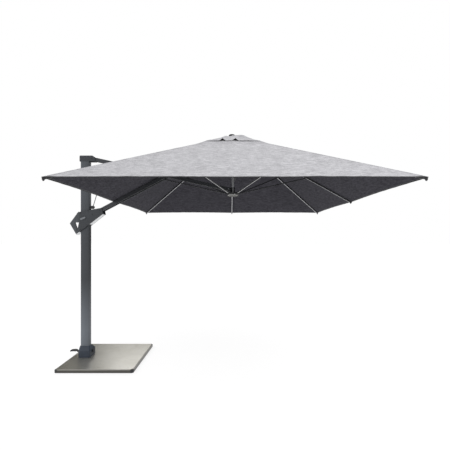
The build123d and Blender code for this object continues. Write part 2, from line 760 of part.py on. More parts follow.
make_base()
make_spigot()
make_mast()
make_cord()
make_foot()
make_boom()
make_brace()
make_carriage()
make_hub()
make_crown()
for count, arm in enumerate(ARMS, start=1):
    make_rib(arm, count)
    make_canopy_strut(arm, count)
make_fabric()

os.makedirs("parts", exist_ok=True)
for part in PARTS:
    export_step(part, f"parts/{part.label}.step")

print("boom", round(degrees(boom_angle), 3), round(boom_length, 2))
print("lift strut", round(degrees(brace_angle), 3), round(brace_length, 2), brace_top)
print("corner ribs", round(hip_crown_z, 3), round(degrees(hip_slope), 3))
print("middle ribs", round(mid_crown_z, 3), round(mid_joint, 3), round(mid_strut, 3))
print("middle angles", round(degrees(mid_slope), 3), round(degrees(mid_strut_angle), 3))
print("nodes", len(PARTS))
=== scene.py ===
import math

import bpy
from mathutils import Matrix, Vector, noise


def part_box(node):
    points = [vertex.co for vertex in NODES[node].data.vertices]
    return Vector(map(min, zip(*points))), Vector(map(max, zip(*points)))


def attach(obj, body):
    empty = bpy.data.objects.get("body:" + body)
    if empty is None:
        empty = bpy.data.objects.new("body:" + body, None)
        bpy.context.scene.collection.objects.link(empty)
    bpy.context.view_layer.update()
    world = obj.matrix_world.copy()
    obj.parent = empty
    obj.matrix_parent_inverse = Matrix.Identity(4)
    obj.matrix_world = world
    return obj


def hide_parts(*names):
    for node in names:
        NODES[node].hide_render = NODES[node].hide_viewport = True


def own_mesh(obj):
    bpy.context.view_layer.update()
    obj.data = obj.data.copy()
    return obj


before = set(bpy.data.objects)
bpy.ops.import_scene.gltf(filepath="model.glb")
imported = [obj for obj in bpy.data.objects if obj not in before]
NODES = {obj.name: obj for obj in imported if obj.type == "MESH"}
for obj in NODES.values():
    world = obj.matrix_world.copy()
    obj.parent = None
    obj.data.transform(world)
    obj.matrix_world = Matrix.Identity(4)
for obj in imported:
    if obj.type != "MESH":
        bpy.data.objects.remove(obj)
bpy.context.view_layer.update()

# ---- the canopy's geometry, in metres. Its extent comes from the frame.
canopy_low, canopy_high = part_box("canopy")
cap_low, cap_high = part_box("vent_cap")
HUB_X = (canopy_low.x + canopy_high.x) / 2
HALF = (canopy_high.x - canopy_low.x) / 2
SLOPE = 0.55                   # rise over run of each of the four panels
VENT_HALF = 0.12               # half the side of the square opening under the vent cap
APEX_Z = canopy_high.z + VENT_HALF * SLOPE
CAP_HALF = (cap_high.x - cap_low.x) / 2
CAP_HOLE = 0.012               # half the side of the hole at the cap's top, under the finial
CAP_SLOPE = (cap_high.z - cap_low.z) / (CAP_HALF - CAP_HOLE)
CAP_APEX_Z = cap_high.z + CAP_HOLE * CAP_SLOPE
STRIP = 0.040                  # half width of the fabric that stays flat on each rib
CLOTH = 0.0012                 # thickness
SAG = 0.014                    # depth of the cloth between two ribs
SCALLOP = 0.011                # how far the hem curves in between two ribs
RIPPLE = 0.0025
PUCKER = 0.0010                # gathers along the hem
PUCKERS = 17                   # from a middle rib to a corner rib
COLLAR = 0.012                 # rise of the cloth round the vent opening
COLLAR_U = 0.40
COLLAR_WIDTH = 0.09
BINDING = 0.010                # width of the bound edge
HEM = 0.005                    # how far the edge turns down
ROW_STEP = 0.032
SLOPE_LENGTH = math.sqrt(1 + SLOPE**2)
SLIT_U = (HUB_X - 1.030, HUB_X - 0.915)
SLIT_HALF = 0.036
MID_TO_HIP = math.tan(math.radians(22.5))
UP = Vector((0, 0, 1))


# ---- materials

class Finish:
    """A principled material whose colour, roughness and bump come from nodes in object space."""

    def __init__(self, name, roughness, metallic=0.0, **sockets):
        self.material = bpy.data.materials.new(name)
        self.material.use_nodes = True
        self.tree = self.material.node_tree
        self.shader = self.tree.nodes["Principled BSDF"]
        self.shader.inputs["Roughness"].default_value = roughness
        self.shader.inputs["Metallic"].default_value = metallic
        for key, value in sockets.items():
            self.shader.inputs[key.replace("_", " ")].default_value = value
        self.place = self.node("ShaderNodeTexCoord").outputs["Object"]
        self.height = None

    def node(self, kind, **settings):
        made = self.tree.nodes.new(kind)
        for key, value in settings.items():
            setattr(made, key, value)
        return made

    def link(self, a, b):
        self.tree.links.new(a, b)

    def scaled(self, scale, turn=0.0):
        """Object coordinates, turned about Z by turn degrees and multiplied by scale along each axis."""
        mapping = self.node("ShaderNodeMapping")
        mapping.inputs["Scale"].default_value = scale
        mapping.inputs["Rotation"].default_value = (0, 0, math.radians(turn))
        self.link(self.place, mapping.inputs["Vector"])
        return mapping.outputs["Vector"]

    def noise(self, scale, detail=3.0, roughness=0.5, stretch=None, turn=0.0):
        made = self.node("ShaderNodeTexNoise")
        made.inputs["Scale"].default_value = scale
        made.inputs["Detail"].default_value = detail
        made.inputs["Roughness"].default_value = roughness
        where = self.scaled(stretch, turn) if stretch else self.place
        self.link(where, made.inputs["Vector"])
        return made.outputs["Fac"]

    def ramp(self, source, stops):
        """A colour ramp. stops are (position, colour)."""
        made = self.node("ShaderNodeValToRGB")
        elements = made.color_ramp.elements
        for _ in range(len(stops) - 2):
            elements.new(0.5)
        for element, (at, colour) in zip(elements, stops):
            element.position = at
            element.color = (*colour, 1)
        self.link(source, made.inputs["Fac"])
        return made.outputs["Color"]

    def values(self, source, low, high, start=0.3, stop=0.7):
        """Maps source from start..stop to low..high."""
        made = self.node("ShaderNodeMapRange")
        for key, value in (("From Min", start), ("From Max", stop), ("To Min", low), ("To Max", high)):
            made.inputs[key].default_value = value
        self.link(source, made.inputs["Value"])
        return made.outputs["Result"]

    def bands(self, scale, distortion):
        """Diagonal stripes, as of threads or strands."""
        made = self.node("ShaderNodeTexWave", wave_type="BANDS", bands_direction="DIAGONAL")
        made.inputs["Scale"].default_value = scale
        made.inputs["Distortion"].default_value = distortion
        self.link(self.place, made.inputs["Vector"])
        return made.outputs["Fac"]

    def mix(self, a, b, factor, how="MIX"):
        made = self.node("ShaderNodeMix", data_type="RGBA", blend_type=how)
        if isinstance(factor, float):
            made.inputs[0].default_value = factor
        else:
            self.link(factor, made.inputs[0])
        self.link(a, made.inputs[6])
        self.link(b, made.inputs[7])
        return made.outputs[2]

    def facing(self, low, high, start, stop):
        """low where a surface's own normal has Z at start, high where it has Z at stop."""
        normal = self.node("ShaderNodeTexCoord").outputs["Normal"]
        parts = self.node("ShaderNodeSeparateXYZ")
        self.link(normal, parts.inputs[0])
        return self.values(parts.outputs["Z"], low, high, start, stop)

    def along(self, axis, low, high, start, stop):
        """low at start along an axis, in metres, and high at stop."""
        parts = self.node("ShaderNodeSeparateXYZ")
        self.link(self.place, parts.inputs[0])
        return self.values(parts.outputs[axis], low, high, start, stop)

    def times(self, colour, factor):
        """A colour times a number that comes from nodes."""
        made = self.node("ShaderNodeVectorMath", operation="SCALE")
        self.link(colour, made.inputs[0])
        self.link(factor, made.inputs["Scale"])
        return made.outputs[0]

    def colour(self, source):
        self.link(source, self.shader.inputs["Base Color"])

    def rough(self, source):
        self.link(source, self.shader.inputs["Roughness"])

    def bump(self, source, strength, distance):
        made = self.node("ShaderNodeBump")
        made.inputs["Strength"].default_value = strength
        made.inputs["Distance"].default_value = distance
        self.link(source, made.inputs["Height"])
        if self.height is not None:
            self.link(self.height, made.inputs["Normal"])
        self.height = made.outputs["Normal"]
        self.link(self.height, self.shader.inputs["Normal"])


def shade(colour, factor):
    return tuple(c * factor for c in colour)


def powder_coat(name, colour, roughness=0.42, painted_light_foot=1.0, painted_light_top=1.0, painted_shade_far_side=1.0):
    """Fine-textured powder coat on an aluminium extrusion. The last three are factors on the colour that
    paint light
    and shade into it: painted light at the mast's foot and at its top, and painted shade on the side that
    is turned to the canopy."""
    finish = Finish(name, roughness, metallic=0.25)
    broad = finish.noise(6.0, 4.0, stretch=(1, 1, 0.25))
    coat = finish.ramp(broad, [(0.3, shade(colour, 0.9)), (0.7, shade(colour, 1.12))])
    # painted light: the colour is lighter towards the mast's foot
    coat = finish.times(coat, finish.along("Z", painted_light_foot, 1.0, 0.35, 1.0))
    # painted light: the colour is lighter towards the mast's top
    coat = finish.times(coat, finish.along("Z", 1.0, painted_light_top, 1.6, 2.3))
    # painted shade: the colour is darker on the +X side, the one turned to the canopy
    finish.colour(finish.times(coat, finish.along("X", 1.0, painted_shade_far_side, -0.05, 0.05)))
    finish.rough(finish.values(finish.noise(35.0, 2.0), roughness - 0.05, roughness + 0.07))
    finish.bump(finish.noise(1400.0, 1.0), 0.25, 0.0004)
    finish.bump(finish.noise(220.0, 2.0), 0.08, 0.0006)
    return finish.material


def moulded_plastic(name, colour, roughness=0.5, grain=900.0, gloss=0.5):
    """Injection moulded plastic with a fine spark-eroded grain."""
    finish = Finish(name, roughness, Specular_IOR_Level=gloss)
    patches = finish.noise(14.0, 5.0)
    finish.colour(finish.ramp(patches, [(0.3, shade(colour, 0.88)), (0.7, shade(colour, 1.14))]))
    finish.rough(finish.values(finish.noise(60.0, 3.0), roughness - 0.06, roughness + 0.08))
    finish.bump(finish.noise(grain, 2.0), 0.35, 0.0003)
    return finish.material


def anodised(name, colour, roughness=0.34, below=1.0, beside=1.0):
    """Satin metal with faint streaks. below and beside are painted shade: they darken its lower faces and
    its other faces.
    """
    finish = Finish(name, roughness, metallic=0.85)
    streaks = finish.noise(240.0, 2.0)
    metal = finish.ramp(streaks, [(0.3, shade(colour, 0.9)), (0.7, shade(colour, 1.08))])
    # painted shade: the colour is darkened by which way each face points
    finish.colour(finish.times(metal, finish.facing(below, beside, -0.75, -0.45)))
    finish.rough(finish.values(finish.noise(80.0, 2.0), roughness - 0.06, roughness + 0.1))
    finish.bump(streaks, 0.12, 0.0003)
    return finish.material


def brushed_base():
    """Steel cover plate brushed along X, with painted shade on its edges and sides, and the marks that rain
    and shoes leave.
    """
    finish = Finish("brushed_base_metal", 0.26, metallic=0.85)
    brush = finish.noise(14.0, 6.0, 0.7, stretch=(1.0, 60.0, 60.0))
    fine = finish.noise(60.0, 3.0, 0.6, stretch=(0.5, 14.0, 14.0))
    warm = finish.ramp(brush, [(0.25, (0.45, 0.436, 0.392)), (0.75, (0.59, 0.577, 0.535))])
    stains = finish.ramp(finish.noise(5.0, 5.0), [(0.35, (0.85, 0.84, 0.82)), (0.6, (1.0, 1.0, 1.0))])
    worn = finish.mix(warm, stains, 0.6, "MULTIPLY")
    # painted shade: faces that turn away from straight up are darkened, down to 0.16 of the colour
    finish.colour(finish.times(worn, finish.facing(0.16, 1.0, 0.80, 0.995)))
    finish.rough(finish.values(fine, 0.25, 0.37))
    finish.bump(brush, 0.18, 0.0004)
    return finish.material


def woven_cloth(name, dark, light, roughness=0.85, weave=414.0, sheen=0.25, gloss=0.4):
    """Melange polyester: thick and thin threads of two tones, with a plain weave under them."""
    finish = Finish(name, roughness, Sheen_Weight=sheen, Sheen_Roughness=0.4, Specular_IOR_Level=gloss)
    slubs = finish.noise(18.0, 7.0, 0.82, stretch=(1, 1, 5.0))
    cross = finish.noise(34.0, 5.0, 0.75, stretch=(3.5, 3.5, 1))
    cloudy = finish.noise(7.0, 3.0)
    threads = finish.mix(
        finish.ramp(slubs, [(0.40, dark), (0.60, light)]),
        finish.ramp(cross, [(0.40, dark), (0.60, light)]), 0.35)
    clouds = finish.ramp(cloudy, [(0.35, (0.88, 0.88, 0.88)), (0.65, (1.0, 1.0, 1.0))])
    finish.colour(finish.mix(threads, clouds, 1.0, "MULTIPLY"))
    finish.bump(finish.bands(weave, 1.5), 0.2, 0.0003)
    finish.bump(finish.noise(420.0, 3.0, stretch=(1, 1, 2)), 0.25, 0.0005)
    return finish.material


def plain_rubber():
    """Dull black rubber, greyer in patches."""
    finish = Finish("foot_rubber", 0.8)
    tones = [(0.3, (0.018, 0.018, 0.018)), (0.7, (0.035, 0.035, 0.035))]
    finish.colour(finish.ramp(finish.noise(40.0), tones))
    finish.bump(finish.noise(700.0), 0.4, 0.0004)
    return finish.material


def sawn_stone():
    """Ballast slab: grey granite with dark and light grains."""
    finish = Finish("ballast_stone", 0.75)
    grains = finish.node("ShaderNodeTexVoronoi")
    grains.inputs["Scale"].default_value = 260.0
    finish.link(finish.place, grains.inputs["Vector"])
    speck = finish.ramp(grains.outputs["Color"], [(0.2, (0.10, 0.10, 0.10)), (0.8, (0.42, 0.41, 0.39))])
    finish.colour(speck)
    finish.bump(finish.noise(300.0, 4.0), 0.4, 0.0008)
    return finish.material


def braided_cord():
    """Black braid with diagonal strands."""
    finish = Finish("braided_cord", 0.7, Sheen_Weight=0.2)
    strands = finish.bands(220.0, 2.0)
    finish.colour(finish.ramp(strands, [(0.2, (0.012, 0.012, 0.013)), (0.8, (0.04, 0.04, 0.043))]))
    finish.bump(strands, 0.6, 0.0008)
    return finish.material


GRAPHITE = (0.044, 0.049, 0.056)
# The mast's colour has painted light at its foot and top and painted shade on the side turned to the
# canopy.
MAST = powder_coat("graphite_powder_coat", GRAPHITE, painted_light_foot=3.4, painted_light_top=1.4, painted_shade_far_side=0.66)
ARM = powder_coat("graphite_arm", (0.030, 0.032, 0.036), 0.45)
PLASTIC = moulded_plastic("carriage_plastic", (0.020, 0.023, 0.028))
GRIP = moulded_plastic("handle_plastic", (0.045, 0.050, 0.057), 0.55, 600.0)
HOUSING = moulded_plastic("foot_plastic", (0.022, 0.031, 0.048), 0.36)
BLACK = moulded_plastic("black_plastic", (0.012, 0.012, 0.014), 0.5)
MATT_BLACK = moulded_plastic("matt_black_plastic", (0.010, 0.010, 0.011), 0.75, gloss=0.15)
LEVER = moulded_plastic("lever_plastic", (0.13, 0.138, 0.15), 0.45)
SILVER = anodised("silver_aluminium", (0.62, 0.63, 0.64), 0.36)
# painted shade: the ribs' sides are darkened to 0.22 of the colour
RIB = anodised("rib_aluminium", (0.40, 0.40, 0.41), 0.40, below=1.0, beside=0.22)
# the lit copy of the strut metal, with painted shade on its sides (0.45)
NEAR_STRUT = anodised("front_strut_aluminium", (0.44, 0.44, 0.44), 0.38, below=1.0, beside=0.45)
# painted shade: a dark copy of the strut metal for the struts away from the front
PAINTED_SHADE_STRUT = anodised("side_strut_painted_shade", (0.055, 0.056, 0.060), 0.42)
# painted shade: the hub plate's downward faces are darkened to 0.10 of the colour
HUB_SILVER = anodised("hub_aluminium", (0.60, 0.60, 0.58), 0.30, below=0.10)
STEEL = anodised("zinc_steel", (0.30, 0.31, 0.32), 0.38)
DARK_STEEL = anodised("blackened_steel", (0.045, 0.046, 0.050), 0.42)
BASE = brushed_base()
CLOTH_TOP = woven_cloth("canopy_melange", (0.235, 0.233, 0.250), (0.54, 0.536, 0.56))
# painted shade: the underside of the canopy's single cloth is coloured far darker than its top
CLOTH_UNDER_PAINTED_SHADE = woven_cloth(
    "canopy_underside_painted_shade", (0.019, 0.018, 0.023), (0.066, 0.064, 0.075), 0.95, sheen=0.0, gloss=0.1)
CLOTH_EDGE = woven_cloth("canopy_binding", (0.010, 0.010, 0.012), (0.020, 0.020, 0.023), 0.85)
RUBBER = plain_rubber()
STONE = sawn_stone()
CORD = braided_cord()

FINISHES = {
    MAST: ["mast_tube"],
    ARM: ["boom", "lift_strut"],
    PLASTIC: ["mast_head", "carriage_cheeks", "carriage_glide"],
    GRIP: ["carriage_handle"],
    HOUSING: ["foot_housing"],
    BLACK: [
        "cord_cleat", "cord_bracket", "foot_pedal", "base_corner_caps", "hub_block", "crown_block",
        "mast_bush", "foot_pin_and_knob", *[f"rib_tip_{i}" for i in range(1, 9)],
    ],
    LEVER: ["release_lever"],
    SILVER: ["carriage_plate", "post_outer", "post_middle", "post_inner"],
    NEAR_STRUT: ["canopy_strut_6", "canopy_strut_8"],
    # painted shade: these struts take the dark copy of the strut metal
    PAINTED_SHADE_STRUT: [f"canopy_strut_{i}" for i in (1, 2, 3, 4, 5, 7)],
    RIB: [f"rib_{i}" for i in range(1, 9)],
    HUB_SILVER: ["hub_plate"],
    DARK_STEEL: ["boom_pivot_pin", "strut_pivot_pin", "lift_strut_bolts"],
    STEEL: ["hub_pivot_pin", "hub_spoke_pins", "crown_spoke_pins", "spigot_bolts", "spigot"],
    BASE: ["base_cover"],
    STONE: ["base_slab"],
    RUBBER: ["base_feet"],
}


# How far the edges of a CAD node are rounded, in metres.
ROUNDED = {"mast_head": 0.0025, "carriage_cheeks": 0.0015, "carriage_glide": 0.0015, "foot_housing": 0.002,
           "carriage_handle": 0.004, "foot_pedal": 0.002, "release_lever": 0.002, "boom": 0.0015,
           "lift_strut": 0.0015, "hub_block": 0.0015}


def paint(piece, *materials):
    piece.data.materials.clear()
    for material in materials:
        piece.data.materials.append(material)


def soften(name, width, segments=3):
    """Rounds the edges of a CAD node as it is shown. Its own mesh stays as it is."""
    piece = NODES[name]
    weld = piece.modifiers.new("weld", "WELD")
    weld.merge_threshold = 1e-5
    dissolve = piece.modifiers.new("dissolve", "DECIMATE")
    dissolve.decimate_type = "DISSOLVE"
    dissolve.angle_limit = math.radians(0.5)
    bevel = piece.modifiers.new("bevel", "BEVEL")
    bevel.width = width
    bevel.segments = segments
    bevel.limit_method = "ANGLE"
    bevel.angle_limit = math.radians(28)
    bevel.harden_normals = True


def finish_cad_nodes():
    for material, names in FINISHES.items():
        for name in names:
            paint(NODES[name], material)
    for name, width in ROUNDED.items():
        soften(name, width)


# ---- meshes

def new_piece(name, points, faces, body, materials, face_materials=None):
    """A mesh object that rides on a body, smooth but for its sharp edges."""
    mesh = bpy.data.meshes.new(name)
    mesh.from_pydata([tuple(p) for p in points], [], faces)
    mesh.update()
    piece = bpy.data.objects.new(name, mesh)
    bpy.context.scene.collection.objects.link(piece)
    paint(piece, *materials)
    mesh.polygons.foreach_set("use_smooth", [True] * len(mesh.polygons))
    if face_materials:
        mesh.polygons.foreach_set("material_index", face_materials)
    mesh.set_sharp_from_angle(angle=math.radians(40))
    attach(piece, body)
    return piece


def grid_normals(grid):
    """The normal at each point of a grid, in the sense of its rows and columns."""
    rows, columns = len(grid), len(grid[0])
    normals = [[None] * columns for _ in range(rows)]
    for r in range(rows):
        for c in range(columns):
            along = grid[min(r + 1, rows - 1)][c] - grid[max(r - 1, 0)][c]
            across = grid[r][min(c + 1, columns - 1)] - grid[r][max(c - 1, 0)]
            normals[r][c] = along.cross(across).normalized()
    return normals


def shell(name, grid, body, materials, band=None, gap=None):
    """A closed sheet of cloth: grid[row][column] is its upper face. The materials are upper, lower and
    binding. band(row) says which rows of faces are binding, gap(row, column) which faces are left out."""
    rows, columns = len(grid), len(grid[0])
    normals = grid_normals(grid)
    flip = normals[rows // 2][columns // 2].z < 0
    if flip:
        normals = [[-n for n in line] for line in normals]
    count = rows * columns
    points = [p for line in grid for p in line]
    points += [p - n * CLOTH for line, ns in zip(grid, normals) for p, n in zip(line, ns)]
    faces, ids, edges = [], [], {}

    def put(face, which):
        faces.append(face[::-1] if flip else face)
        ids.append(which)

    for r in range(rows - 1):
        for c in range(columns - 1):
            if gap and gap(r, c):
                continue
            a, b = r * columns + c, r * columns + c + 1
            d, e = a + columns, b + columns
            bound = band(r) if band else False
            put((a, d, e, b), 2 if bound else 0)
            put((a + count, b + count, e + count, d + count), 2 if bound else 1)
            for edge in ((a, b), (b, e), (e, d), (d, a)):
                key = tuple(sorted(edge))
                edges[key] = None if key in edges else edge
    for edge in edges.values():
        if edge:
            a, b = edge
            put((a, b, b + count, a + count), 2 if len(materials) > 2 else 0)
    used = sorted({i for f in faces for i in f})
    place = {i: n for n, i in enumerate(used)}
    faces = [tuple(place[i] for i in f) for f in faces]
    return new_piece(name, [points[i] for i in used], faces, body, materials, ids)


def lerp(a, b, t):
    return a + (b - a) * t


def spread(a, b, count):
    """The ends of count equal steps from a to b."""
    return [lerp(a, b, i / count) for i in range(count + 1)]


# ---- canopy cloth

def panel_axes(panel):
    """Horizontal directions out of a panel and across it."""
    angle = math.radians(90 * panel)
    return Vector((math.cos(angle), math.sin(angle), 0)), Vector((-math.sin(angle), math.cos(angle), 0))


def cloth_point(panel, u, v):
    """The canopy's upper face at u out from the axis and v across the panel. share is 0 on the middle
    rib and 1 on a corner rib, and reach is 0 at the vent opening and 1 at the hem."""
    out, side = panel_axes(panel)
    share = min(1.0, abs(v) / u)
    reach = (u - VENT_HALF) / (HALF - VENT_HALF)
    between = math.sin(math.pi * share)
    inward = SCALLOP * between * reach**2
    sag = SAG * between * (0.25 + 0.75 * reach - 0.95 * reach**6) * min(1.0, 6 * reach)
    ripple = noise.noise(Vector((panel * 9.1 + 2.3 * u, 7.0 * share + (0 if v < 0 else 11.0), 0.4)))
    pucker = math.sin(2 * math.pi * PUCKERS * share + 3 * panel) * reach**6
    lift = between * (RIPPLE * ripple * reach + PUCKER * pucker)
    collar = COLLAR * min(1.0, max(0.0, (COLLAR_U - u) / COLLAR_WIDTH))
    at = Vector((HUB_X, 0, APEX_Z)) + out * (u - inward) + side * v
    at.z -= (u - inward) * SLOPE + sag - lift - collar
    return at


def row_places():
    """u of each row of the canopy's grid. The slit's ends are among them."""
    fixed = [VENT_HALF, *SLIT_U, HALF - BINDING]
    places = []
    for start, stop in zip(fixed, fixed[1:]):
        count = max(2, round((stop - start) / ROW_STEP))
        places += [lerp(start, stop, i / count) for i in range(count)]
    return places + [HALF - BINDING]


ROWS = row_places()
HEM_ROWS = ((0.0, 0.0), (0.0015, 0.0015), (0.002, HEM))    # outward and down, round the bound edge


def cloth_grid(panel, sides):
    """Rows from the vent to the hem. sides(u) gives v of each column."""
    out, _ = panel_axes(panel)
    grid = [[cloth_point(panel, u, v) for v in sides(u)] for u in ROWS]
    for outward, down in HEM_ROWS:
        grid.append([cloth_point(panel, HALF, v) + out * outward - UP * down for v in sides(HALF)])
    return grid


def is_binding(row):
    """True for the bound edge's faces."""
    return row >= len(ROWS) - 1


def hip_v(u, distance):
    """v at an in-plane distance from the corner rib's line."""
    return u - distance * math.sqrt(SLOPE_LENGTH**2 + 1) / SLOPE_LENGTH


CLOTHS = (CLOTH_TOP, CLOTH_UNDER_PAINTED_SHADE, CLOTH_EDGE)
POCKET_WIDTH = 0.130           # along the hem
POCKET_DEPTH = 0.024           # in from the hem
POCKET_HEM = ((0.0030, 0.0015), (0.0034, 0.0060))    # outward and down


def declare(grid, cut=max):
    """Measures a piece's longest or shortest cut along the rib, and does nothing with the length."""
    columns = list(zip(*grid))
    long = cut(sum((a - b).length for a, b in zip(line, line[1:])) for line in columns)


def make_mid_cloth(panel):
    """Cloth on the middle rib of a panel: a strip that stays flat on it and two sides that gather."""
    number = 2 * panel + 1
    body = f"rib_{number}"
    over_the_boom = panel == 2
    inner = [-STRIP, -SLIT_HALF, -0.02, 0.0, 0.02, SLIT_HALF, STRIP]

    def in_slit(row, column):
        middle = (ROWS[row] + ROWS[row + 1]) / 2 if row + 1 < len(ROWS) else HALF
        return over_the_boom and SLIT_U[0] < middle < SLIT_U[1] and 1 <= column <= 4

    grid = cloth_grid(panel, lambda u: inner)
    strip = shell(f"canopy_strip_{number}", grid, body, CLOTHS, is_binding, in_slit)
    declare(grid)
    for way, word in ((1, "a"), (-1, "b")):
        grid = cloth_grid(panel, lambda u: spread(way * STRIP, way * MID_TO_HIP * u, 12))
        piece = shell(f"canopy_mid_{number}{word}", grid, body, CLOTHS, is_binding)
        declare(grid)
        cloth_point(panel, 1.0, way * STRIP)
        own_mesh(piece)


def make_hip_cloth(index):
    """Cloth on a corner rib, one half on each of the two panels that meet there."""
    number = 2 * index + 2
    body = f"rib_{number}"
    for panel, way, word in ((index, 1, "a"), ((index + 1) % 4, -1, "b")):
        grid = cloth_grid(panel, lambda u: spread(way * hip_v(u, STRIP), way * u, 3))
        strip = shell(f"canopy_strip_{number}{word}", grid, body, CLOTHS, is_binding)
        declare(grid)
        grid = cloth_grid(panel, lambda u: spread(way * MID_TO_HIP * u, way * hip_v(u, STRIP), 14))
        piece = shell(f"canopy_hip_{number}{word}", grid, body, CLOTHS, is_binding)
        declare(grid)
        cloth_point(panel, 1.0, way * hip_v(1.0, STRIP))
        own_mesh(piece)


def raised(panel, u, v, height):
    """A point above the canopy's cloth."""
    out, _ = panel_axes(panel)
    return cloth_point(panel, u, v) + (out * SLOPE + UP).normalized() * height


def make_corner_pockets(index):
    """Black reinforcement sewn over the corner of the two panels that meet on a corner rib: a flat
    wedge that is widest at the hem."""
    number = 2 * index + 2
    rows = 7
    proud = 0.0016
    for panel, way, word in ((index, 1, "a"), ((index + 1) % 4, -1, "b")):
        grid = []
        for step in range(1, rows + 1):
            u = HALF - POCKET_DEPTH + POCKET_DEPTH * step / rows
            line = spread(u - POCKET_WIDTH * step / rows, u, 6)
            grid.append([raised(panel, u, way * v, proud) for v in line])
        out, _ = panel_axes(panel)
        for outward, down in POCKET_HEM:
            grid.append([p + out * outward - UP * down for p in grid[rows - 1]])
        piece = shell(f"corner_pocket_{number}{word}", grid, f"rib_{number}", (CLOTH_EDGE, CLOTH_EDGE))
        declare(grid, cut=min)
        cloth_point(panel, HALF, way * HALF)
        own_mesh(piece)


def make_hip_seam(index):
    """The taped seam over a corner rib, a little proud of the cloth."""
    number = 2 * index + 2
    near, far = index, (index + 1) % 4
    profile = ((near, 0.009, 0.0008), (near, 0.004, 0.0026), (near, 0.0, 0.0030),
               (far, 0.004, 0.0026), (far, 0.009, 0.0008))    # panel, distance in from the corner, height
    grid = []
    gap = 0.004
    for u in spread(VENT_HALF + gap, HALF - POCKET_DEPTH - gap / 2, 44):
        grid.append([raised(panel, u, u - inward if panel == near else inward - u, height)
                     for panel, inward, height in profile])
    piece = shell(f"hip_seam_{number}", grid, f"rib_{number}", (CLOTH_TOP, CLOTH_TOP))
    declare(grid)


def make_canopy():
    for panel in range(4):
        make_mid_cloth(panel)
        make_hip_cloth(panel)
        make_corner_pockets(panel)
        make_hip_seam(panel)
    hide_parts("canopy")


# ---- vent cap

CAP_ARCHES = {0: (-0.06, 0.10), 1: (-0.11, 0.07), 2: (0.02, 0.13), 3: (-0.123, 0.026)}    # v, by panel
ARCH_HALF = 0.040
ARCH_RISE = 0.029
CAP_SAG = 0.010
CAP_SETTLE = 0.003             # how far the cap's corners hang below its edge
CAP_DIP = 0.012                # under the finial
CREASE = 0.004
CAP_HEM = ((0.0008, 0.001), (0.0010, 0.002))    # outward and down
CAP_ROWS = 12
CAP_SPLIT = 0.095              # where the cap's top, on the crown, meets its sides, on the ribs


def bell(x, middle, width):
    """A smooth bump of height 1."""
    return math.exp(-((x - middle) / width) ** 2)


def cap_point(panel, u, v):
    """The vent cap's upper face. Its edge is lifted into two small arches on each side, the half away
    from the mast stands up in a soft fold, and the half beside the mast hangs a little."""
    out, side = panel_axes(panel)
    share = min(1.0, abs(v) / max(u, 1e-6))
    reach = max(0.0, (u - 0.1) / (CAP_HALF - 0.1))
    arch = sum(max(0.0, 1 - abs(v - middle) / ARCH_HALF) ** 1.2 for middle in CAP_ARCHES[panel])
    settle = CAP_SETTLE * reach**2 * share**3
    sag = CAP_SAG * math.sin(math.pi * share) * min(1.0, u / 0.12) * (1 - reach)
    at = Vector((HUB_X, 0, CAP_APEX_Z)) + out * u + side * v
    tilt = (at.x - HUB_X) / max(u, 1e-6)
    if tilt > 0:
        fold = tilt * (0.014 * bell(u, 0.125, 0.055) - 0.008 * bell(u, 0.262, 0.030))
    else:
        fold = tilt * share * (0.014 * bell(u, 0.045, 0.030) + 0.019 * bell(u, 0.190, 0.055))
    uneven = noise.noise(Vector((at.x * 16, at.y * 16, 3.7)))
    crease = CREASE * uneven * min(1.0, u / 0.08) * (1 - reach**4)
    dip = CAP_DIP * bell(u, 0.0, 0.05)
    at.z += ARCH_RISE * arch * reach**3 - u * CAP_SLOPE - sag - settle - dip + fold + crease
    return at


def cap_grid(panel, start, stop, sides, edge):
    """Rows from start to stop, and round the edge if there is one. sides(u) gives v of each column."""
    out, _ = panel_axes(panel)
    rows = spread(start, stop, CAP_ROWS)
    grid = [[cap_point(panel, u, v) for v in sides(u)] for u in rows]
    if edge:
        for outward, down in CAP_HEM:
            grid.append([cap_point(panel, stop, v) + out * outward - UP * down for v in sides(stop)])
    return grid


def make_vent_cap():
    # the cap's underside takes the same painted-shade underside cloth
    cloths = (CLOTH_TOP, CLOTH_UNDER_PAINTED_SHADE)
    for panel in range(4):
        number = 2 * panel + 1
        grid = cap_grid(panel, CAP_SPLIT, CAP_HALF,
                        lambda u: spread(-MID_TO_HIP * u, MID_TO_HIP * u, 40), True)
        piece = shell(f"vent_cap_mid_{number}", grid, f"rib_{number}", cloths)
        declare(grid)
        cap_point(panel, 0.2, 0)
        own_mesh(piece)
        number += 1
        for which, way, word in ((panel, 1, "a"), ((panel + 1) % 4, -1, "b")):
            grid = cap_grid(which, CAP_SPLIT, CAP_HALF,
                            lambda u: spread(way * MID_TO_HIP * u, way * u, 26), True)
            piece = shell(f"vent_cap_hip_{number}{word}", grid, f"rib_{number}", cloths)
            declare(grid)
            cap_point(which, 0.2, way * 0.2)
            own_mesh(piece)
        grid = cap_grid(panel, CAP_HOLE, CAP_SPLIT, lambda u: spread(-u, u, 16), False)
        piece = shell(f"vent_cap_top_{panel + 1}", grid, "crown", cloths)
        declare(grid)
    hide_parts("vent_cap")


# ---- turned parts: the finial and the carriage's screws

def turned(name, profile, foot, axis, body, material, count=40):
    """A surface of revolution. profile is (radius, height) from the foot up, closed at both ends."""
    turn = Vector(axis).to_track_quat("Z", "Y")
    points, faces = [], []
    for radius, height in profile:
        for i in range(count):
            angle = 2 * math.pi * i / count
            around = Vector((radius * math.cos(angle), radius * math.sin(angle), height))
            points.append(Vector(foot) + turn @ around)
    for ring in range(len(profile) - 1):
        for i in range(count):
            a, b = ring * count + i, ring * count + (i + 1) % count
            faces.append((a, b, b + count, a + count))
    faces.append(tuple(range(count))[::-1])
    faces.append(tuple(range((len(profile) - 1) * count, len(profile) * count)))
    return new_piece(name, points, faces, body, (material,))


